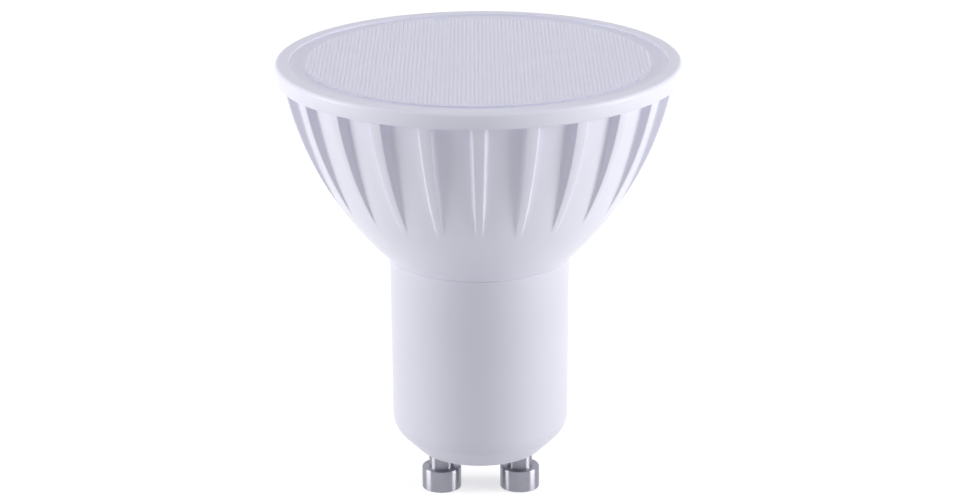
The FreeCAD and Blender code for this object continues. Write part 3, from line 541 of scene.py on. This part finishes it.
class SPOTLIGHT_OT_bowl(Operator):
    """Model the ribbed bowl with its plain band"""

    bl_idname = "spotlight.bowl"
    bl_label = "Ribbed bowl"

    # Bends of the inside: how far in and how far down from the lens's skirt, in millimetres
    inner_bends = ((0.62, 3.0), (1.7, 6.5), (3.35, 10.2), (5.9, 14.4))

    def execute(self, context):
        settings = context.scene.spotlight
        sizes = settings.bowl
        seam = housing_low.z
        band_bottom = housing_high.z - sizes.band_height
        mouth = housing_high.x - sizes.band_step
        centre = arc_middle((sizes.foot_radius, seam), (mouth, band_bottom), sizes.curve)

        mesh = bmesh.new()
        on_bowl = mesh.verts.layers.int.new("bowl")
        foot = mesh.verts.new((0.0, -sizes.foot_radius, seam))
        foot[on_bowl] = 1
        start = math.atan2(seam - centre[1], sizes.foot_radius - centre[0])
        end = math.atan2(band_bottom - centre[1], mouth - centre[0])
        bmesh.ops.spin(
            mesh,
            geom=[foot],
            cent=(0.0, -centre[0], centre[1]),
            axis=(-1.0, 0.0, 0.0),
            angle=end - start,
            steps=sizes.rows,
        )
        mesh.verts.ensure_lookup_table()
        mouth_vert = max(mesh.verts, key=lambda vert: vert.co.z)

        rest = wire_outline(mesh, self.rim_and_inside(sizes, band_bottom, seam))
        for vert in rest:
            vert[on_bowl] = 0
        mesh.edges.new((mouth_vert, rest[0]))
        mesh.edges.new((rest[-1], foot))
        round_corner(mesh, rest[0], sizes.band_round, 3)
        round_corner(mesh, rest[1], sizes.rim_round, 7)
        round_corner(mesh, rest[2], sizes.pocket_round, 3)
        spin_round(mesh, sizes.rib_count * sizes.half_columns * 2)

        section = RibSection(sizes, band_bottom)
        layer = mesh.verts.layers.int["bowl"]
        for vert in mesh.verts:
            if vert[layer] == 1:
                self.shape_rib(vert, section, centre)
        looks = settings.finish
        material = moulded_finish("housing_plastic", looks.bowl, looks.roughness)
        make_piece(mesh, "ribbed_bowl", material, "ribbed_housing")
        return {"FINISHED"}

    def rim_and_inside(self, sizes, band_bottom, seam):
        """Outline from the band over the rim and down the inside to the seam."""
        rim_radius, rim_top = housing_high.x, housing_high.z
        pocket = lens_high.x + FIT
        ledge = rim_top - sizes.pocket_depth
        bore = pocket - SKIRT_INSET
        skirt_end = lens_low.z - FIT
        socket = sizes.foot_radius - SPIGOT_DEPTH + FIT
        socket_top = seam + sizes.socket_depth
        inside = [(bore - reach * MM, skirt_end - drop * MM) for reach, drop in self.inner_bends]
        return [
            (rim_radius, band_bottom),
            (rim_radius, rim_top),
            (pocket, rim_top),
            (pocket, ledge),
            (bore, ledge),
            (bore, skirt_end),
            *inside,
            (sizes.foot_radius + sizes.socket_flare, socket_top),
            (socket, socket_top),
            (socket, seam),
        ]

    def shape_rib(self, vert, section, centre):
        """Move one point of the bowl to its mesh column and down to the panel."""
        sizes = section.sizes
        pitch = math.tau / sizes.rib_count
        x, y, height = vert.co
        radius = centre[0] + math.sqrt(sizes.curve ** 2 - (height - centre[1]) ** 2)
        turn = math.atan2(x, -y)
        rib = round(turn / pitch)
        from_rib = turn - rib * pitch
        column = round(abs(from_rib) / pitch * 2 * sizes.half_columns)
        across = section.columns(height, radius * pitch / 2)[column]
        turn = rib * pitch + math.copysign(across / radius, from_rib)
        radius -= section.depth_at(across, height)
        vert.co.x = radius * math.sin(turn)
        vert.co.y = -radius * math.cos(turn)


class SPOTLIGHT_OT_neck(Operator):
    """Model the plain neck with its rounded foot"""

    bl_idname = "spotlight.neck"
    bl_label = "Neck"

    def execute(self, context):
        settings = context.scene.spotlight
        sizes = settings.neck
        top_radius = settings.bowl.foot_radius
        spigot = top_radius - SPIGOT_DEPTH
        bore = sizes.foot_radius - sizes.wall
        base, seam, top = neck_low.z, housing_low.z, neck_high.z
        inside = base + sizes.floor
        bevel = sizes.bore_bevel
        corners = [
            (0.0, base),
            (sizes.foot_radius - sizes.foot_bevel, base),
            (sizes.foot_radius, base + sizes.foot_bevel),
            (top_radius, seam),
            (spigot, seam),
            (spigot, top),
            (bore, top),
            (bore, inside + bevel),
            (bore - bevel, inside),
            (0.0, inside),
        ]
        mesh = bmesh.new()
        verts = wire_outline(mesh, corners)
        round_corner(mesh, verts[1], sizes.base_round)
        round_corner(mesh, verts[2], sizes.foot_round, 8)
        round_corner(mesh, verts[3], sizes.seam_round)
        spin_round(mesh, 192)
        self.add_bosses(mesh, sizes, settings.pins.spacing / 2, inside)
        self.add_rails(mesh, sizes, bore, inside + bevel)
        looks = settings.finish
        # The neck's colour holds painted shade: it is darker than the bowl's plastic, for the shade
        # under the bowl.
        material = moulded_finish("neck_plastic", looks.neck, looks.roughness)
        make_piece(mesh, "neck_moulding", material, "base_neck")
        return {"FINISHED"}

    def add_bosses(self, mesh, sizes, offset, inside):
        """The two seats that the pins are riveted on."""
        depth = BOSS_HEIGHT + sizes.boss_sink
        middle = inside + BOSS_HEIGHT - depth / 2
        for side in (-1, 1):
            bmesh.ops.create_cone(
                mesh,
                cap_ends=True,
                segments=48,
                radius1=sizes.boss_radius,
                radius2=sizes.boss_radius,
                depth=depth,
                matrix=Matrix.Translation((side * offset, 0.0, middle)),
            )

    def add_rails(self, mesh, sizes, bore, low):
        """The four rails that hold the driver board's edges."""
        size = Vector((sizes.rail_thickness, sizes.rail_width, sizes.rail_height))
        from_axis = bore - sizes.rail_inset
        for side in (-1, 1):
            for end in (-1, 1):
                middle = Vector((side * size.x, end * from_axis, low + size.z / 2))
                at = Matrix.Translation(middle) @ Matrix.Diagonal((*size, 1.0))
                bmesh.ops.create_cube(mesh, size=1.0, matrix=at)


class SPOTLIGHT_OT_lens(Operator):
    """Model the lens: plain border, skirt and a raised field of small prisms"""

    bl_idname = "spotlight.lens"
    bl_label = "Prismatic lens"

    def execute(self, context):
        settings = context.scene.spotlight
        sizes = settings.lens
        radius = lens_high.x + sizes.margin
        top = lens_high.z
        border_top = housing_high.z - sizes.recess
        field = radius - sizes.border
        skirt = radius - SKIRT_INSET
        skirt_inside = skirt - sizes.skirt_thickness
        under = top - sizes.thickness
        ledge = border_top - sizes.border_thickness
        plateau = top - sizes.prism_height - sizes.prism_gap
        corners = [
            (0.0, under),
            (skirt_inside, under),
            (skirt_inside, lens_low.z),
            (skirt, lens_low.z),
            (skirt, ledge),
            (radius, ledge),
            (radius, border_top),
            (field, border_top - sizes.slope),
            (field, plateau),
            (0.0, plateau),
        ]
        mesh = bmesh.new()
        verts = wire_outline(mesh, corners)
        round_corner(mesh, verts[6], sizes.border_round, 2)
        spin_round(mesh, 256)
        self.add_prisms(mesh, sizes, field, plateau - sizes.prism_sink, top)
        looks = settings.finish
        grain, relief = 0.1 * MM, 0.0008 * MM
        material = moulded_finish("lens_plastic", looks.lens, looks.roughness, grain, relief)
        make_piece(mesh, "prism_lens", material, "lens", math.radians(20.0))
        return {"FINISHED"}

    def add_prisms(self, mesh, sizes, field, low, top):
        """A slab with a stepped edge whose top is a square field of pyramids."""
        pitch = sizes.prism_pitch
        cells = 2 * math.ceil(field / pitch)
        slab = bmesh.new()
        bmesh.ops.create_grid(
            slab,
            x_segments=cells,
            y_segments=cells,
            size=cells * pitch / 2,
            matrix=Matrix.Translation((0.0, 0.0, low)),
        )
        reach = field - pitch * 0.4
        outside = [face for face in slab.faces if face.calc_center_median().xy.length > reach]
        bmesh.ops.delete(slab, geom=outside, context="FACES")
        raised = bmesh.ops.extrude_face_region(slab, geom=slab.faces[:])["geom"]
        tops = [item for item in raised if isinstance(item, bmesh.types.BMFace)]
        corners = [item for item in raised if isinstance(item, bmesh.types.BMVert)]
        bmesh.ops.translate(slab, verts=corners, vec=(0.0, 0.0, top - sizes.prism_height - low))
        bmesh.ops.recalc_face_normals(slab, faces=slab.faces)
        bmesh.ops.poke(slab, faces=tops, offset=sizes.prism_height, center_mode="MEAN")
        data = bpy.data.meshes.new("prisms")
        slab.to_mesh(data)
        slab.free()
        mesh.from_mesh(data)
        bpy.data.meshes.remove(data)


class SPOTLIGHT_OT_pins(Operator):
    """Model the two headed contact pins"""

    bl_idname = "spotlight.pins"
    bl_label = "Contact pins"

    def execute(self, context):
        settings = context.scene.spotlight
        sizes = settings.pins
        head = (pin_high.x - pin_low.x) / 2
        base = neck_low.z
        boss = base + settings.neck.floor + BOSS_HEIGHT
        rivet = boss + sizes.rivet_thickness
        tail = pin_high.z
        corners = [
            (0.0, 0.0),
            (head, 0.0),
            (head, sizes.head_height),
            (sizes.post_radius, sizes.head_height),
            (sizes.post_radius, base),
            (sizes.shank_radius, base),
            (sizes.shank_radius, boss),
            (sizes.rivet_radius, boss),
            (sizes.rivet_radius, rivet),
            (sizes.tail_radius, rivet),
            (sizes.tail_radius, tail),
            (sizes.bore_radius, tail),
            (sizes.bore_radius, rivet),
            (0.0, rivet),
        ]
        for side, word in ((-1, "left"), (1, "right")):
            mesh = bmesh.new()
            verts = wire_outline(mesh, corners)
            round_corner(mesh, verts[1], sizes.edge_round, 3)
            round_corner(mesh, verts[2], sizes.edge_round, 3)
            spin_round(mesh, 96)
            middle = Vector((side * sizes.spacing / 2, 0.0, 0.0))
            bmesh.ops.translate(mesh, verts=mesh.verts, vec=middle)
            material = plated_finish("pin_nickel_pin_" + word, settings.finish.nickel, middle)
            make_piece(mesh, "contact_pin_" + word, material, "pin_" + word)
        return {"FINISHED"}


class SPOTLIGHT_OT_inner(Operator):
    """Give the light source and the driver their finishes"""

    bl_idname = "spotlight.inner"
    bl_label = "Inner finishes"

    def execute(self, context):
        drawn = (1.0, 1.0, 0.1)
        aluminium = metal_finish("spreader_aluminium", (0.78, 0.78, 0.79), 0.34, drawn)
        steel = metal_finish("screw_steel", (0.60, 0.61, 0.62), 0.3)
        tin = metal_finish("tinned", (0.72, 0.73, 0.74), 0.3)
        dark = moulded_finish("package_black", (0.02, 0.02, 0.022), 0.5, 0.15 * MM, 0.004 * MM)
        sleeve = moulded_finish("can_sleeve", (0.02, 0.03, 0.08), 0.25)
        ferrite = moulded_finish("ferrite", (0.03, 0.03, 0.034), 0.7, 0.3 * MM, 0.02 * MM)
        rubber = moulded_finish("pad_rubber", (0.42, 0.48, 0.55), 0.8, 0.4 * MM, 0.01 * MM)
        tape = moulded_finish("coil_tape", (0.75, 0.50, 0.06), 0.3, 0.6 * MM, 0.01 * MM)
        laminate = moulded_finish("board_green", (0.02, 0.16, 0.06), 0.35, 0.5 * MM, 0.004 * MM)
        finishes = {
            "heat_spreader": aluminium,
            "thermal_pad": rubber,
            "led_board": moulded_finish("board_white", (0.86, 0.86, 0.84), 0.4),
            "led_chips": phosphor_finish("chip_phosphor"),
            "board_screws": steel,
            "lead_bush": moulded_finish("bush_nylon", (0.80, 0.79, 0.74), 0.5),
            "mains_lead": moulded_finish("lead_white", (0.78, 0.78, 0.76), 0.45),
            "fuse_resistor": moulded_finish("fuse_lacquer", (0.08, 0.28, 0.26), 0.3),
            "led_lead_positive": moulded_finish("lead_red", (0.55, 0.02, 0.02), 0.45),
            "led_lead_negative": moulded_finish("lead_black", (0.02, 0.02, 0.02), 0.45),
            "bulk_capacitor": sleeve,
            "output_capacitor": sleeve,
            "film_capacitor": moulded_finish("film_case", (0.55, 0.46, 0.05), 0.45),
            "filter_choke": ferrite,
            "inductor_core": ferrite,
            "inductor_coil": tape,
            "bridge_rectifier": dark,
            "driver_chip": dark,
            "flyback_diode": dark,
            "chip_resistors": dark,
            "driver_board": laminate,
            "solder_joints": tin,
        }
        for node, material in finishes.items():
            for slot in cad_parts[node].material_slots:
                slot.material = material
        return {"FINISHED"}


class SPOTLIGHT_OT_stage(Operator):
    """Set the floor, the softboxes and the camera"""

    bl_idname = "spotlight.stage"
    bl_label = "Stage"

    def execute(self, context):
        scene = context.scene
        settings = scene.spotlight.stage
        self.add_floor(scene)
        self.light_room(scene, settings.fill)
        right = settings.side_power
        left = right * settings.side_balance
        warm, white = (1.0, 1.0, 0.95), (1.0, 1.0, 1.0)
        softboxes = (
            ("left_softbox", (-0.44, -0.05, 0.11), (0.24, 0.20), left, warm),
            ("right_softbox", (0.44, -0.08, 0.11), (0.24, 0.20), right, warm),
            ("top_softbox", (0.0, -0.13, 0.64), (0.6, 0.06), settings.top_power, white),
            ("front_softbox", (0.0, -0.6, 0.22), (0.5, 0.3), settings.front_power, white),
        )
        for softbox in softboxes:
            self.add_softbox(scene, *softbox)
        self.add_camera(scene, settings)
        scene.view_settings.view_transform = "Standard"
        return {"FINISHED"}

    def add_floor(self, scene):
        mesh = bmesh.new()
        bmesh.ops.create_grid(mesh, x_segments=8, y_segments=8, size=3.0)
        data = bpy.data.meshes.new("floor")
        mesh.to_mesh(data)
        mesh.free()
        data.materials.append(self.white_surface())
        floor = bpy.data.objects.new("floor", data)
        scene.collection.objects.link(floor)

    def white_surface(self):
        """White that still takes the object's shadow, and whose glow grows with distance as painted
        light, so that it shows as white in the distance too.
        """
        finish = Finish("floor_white", {"Roughness": 0.9, "Specular IOR Level": 0.0})
        speckle = finish.noise(4 * MM, 2.0)
        finish.vary("Base Color", finish.mix(speckle, grey(0.75), grey(0.77)))
        away = finish.add("ShaderNodeVectorMath", {"operation": "LENGTH"}, {0: finish.place()}, 1)
        # Painted light: the glow seen by camera and glossy rays rises from 0.57 near the object to
        # 0.82 far off, making up for the softboxes' light falling off.
        spread = {"From Min": 0.15, "From Max": 0.45, "To Min": 0.57, "To Max": 0.82}
        painted_distance_light = finish.add("ShaderNodeMapRange", inputs={"Value": away, **spread})
        shown = {"Color": grey(1.0), "Strength": finish.seen() * painted_distance_light}
        glow = finish.add("ShaderNodeEmission", inputs=shown)
        lit = Value(finish, finish.shader.outputs[0])
        both = finish.add("ShaderNodeAddShader", inputs={0: lit, 1: glow})
        finish.link(both, finish.tree.nodes["Material Output"].inputs["Surface"])
        return finish.material

    def light_room(self, scene, fill):
        """A room that lights the object at a plain level and shows as white."""
        scene.world = bpy.data.worlds.new("room")
        scene.world.use_nodes = True
        nodes = Nodes(scene.world.node_tree)
        background = nodes.tree.nodes["Background"]
        background.inputs["Color"].default_value = (1.0, 1.0, 1.06, 1.0)
        levels = {"Value": nodes.seen(), "To Min": fill, "To Max": 1.0}
        strength = nodes.add("ShaderNodeMapRange", inputs=levels)
        nodes.link(strength, background.inputs["Strength"])

    def add_softbox(self, scene, name, place, size, watts, tint):
        """An area light that faces the object."""
        data = bpy.data.lights.new(name, "AREA")
        data.shape = "RECTANGLE"
        data.size, data.size_y = size
        data.energy = watts
        data.color = tint
        lamp = bpy.data.objects.new(name, data)
        lamp.location = place
        aim = LIT_POINT - Vector(place)
        lamp.rotation_euler = aim.to_track_quat("-Z", "Y").to_euler()
        scene.collection.objects.link(lamp)

    def add_camera(self, scene, settings):
        """The camera where the photo's was, looking down on the lamp from the front."""
        data = bpy.data.cameras.new("camera")
        data.lens = settings.focal_length
        data.sensor_width = 36.0
        data.clip_start = 0.01
        camera = bpy.data.objects.new("camera", data)
        pitch = settings.camera_pitch
        back = settings.camera_distance
        camera.location = (
            settings.camera_side,
            -back * math.cos(pitch),
            settings.camera_aim + back * math.sin(pitch),
        )
        upright = Matrix.Rotation(math.pi / 2 - pitch, 3, "X")
        tilt = upright @ Matrix.Rotation(settings.camera_roll, 3, "Z")
        camera.rotation_euler = tilt.to_euler()
        scene.collection.objects.link(camera)
        scene.camera = camera


class SPOTLIGHT_PT_panel(Panel):
    """Buttons for each piece of the lamp"""

    bl_label = "Spotlight lamp"
    bl_space_type = "VIEW_3D"
    bl_region_type = "UI"
    bl_category = "Spotlight"

    def draw(self, context):
        settings = context.scene.spotlight
        for operator in OPERATORS:
            self.layout.operator(operator.bl_idname)
        groups = (
            settings.bowl,
            settings.neck,
            settings.lens,
            settings.pins,
            settings.finish,
            settings.stage,
        )
        for group in groups:
            box = self.layout.box()
            for name in group.bl_rna.properties.keys():
                if name not in ("rna_type", "name"):
                    box.prop(group, name)


SETTINGS = (
    BowlSettings,
    NeckSettings,
    LensSettings,
    PinSettings,
    FinishSettings,
    StageSettings,
    SpotlightSettings,
)
OPERATORS = (
    SPOTLIGHT_OT_bowl,
    SPOTLIGHT_OT_neck,
    SPOTLIGHT_OT_lens,
    SPOTLIGHT_OT_pins,
    SPOTLIGHT_OT_inner,
    SPOTLIGHT_OT_stage,
)
CLASSES = SETTINGS + OPERATORS + (SPOTLIGHT_PT_panel,)


def register():
    for entry in CLASSES:
        bpy.utils.register_class(entry)
    bpy.types.Scene.spotlight = PointerProperty(type=SpotlightSettings)


def unregister():
    del bpy.types.Scene.spotlight
    for entry in reversed(CLASSES):
        bpy.utils.unregister_class(entry)


def main():
    register()
    bpy.ops.spotlight.bowl()
    bpy.ops.spotlight.neck()
    bpy.ops.spotlight.lens()
    bpy.ops.spotlight.pins()
    bpy.ops.spotlight.inner()
    bpy.ops.spotlight.stage()


if __name__ == "__main__":
    main()
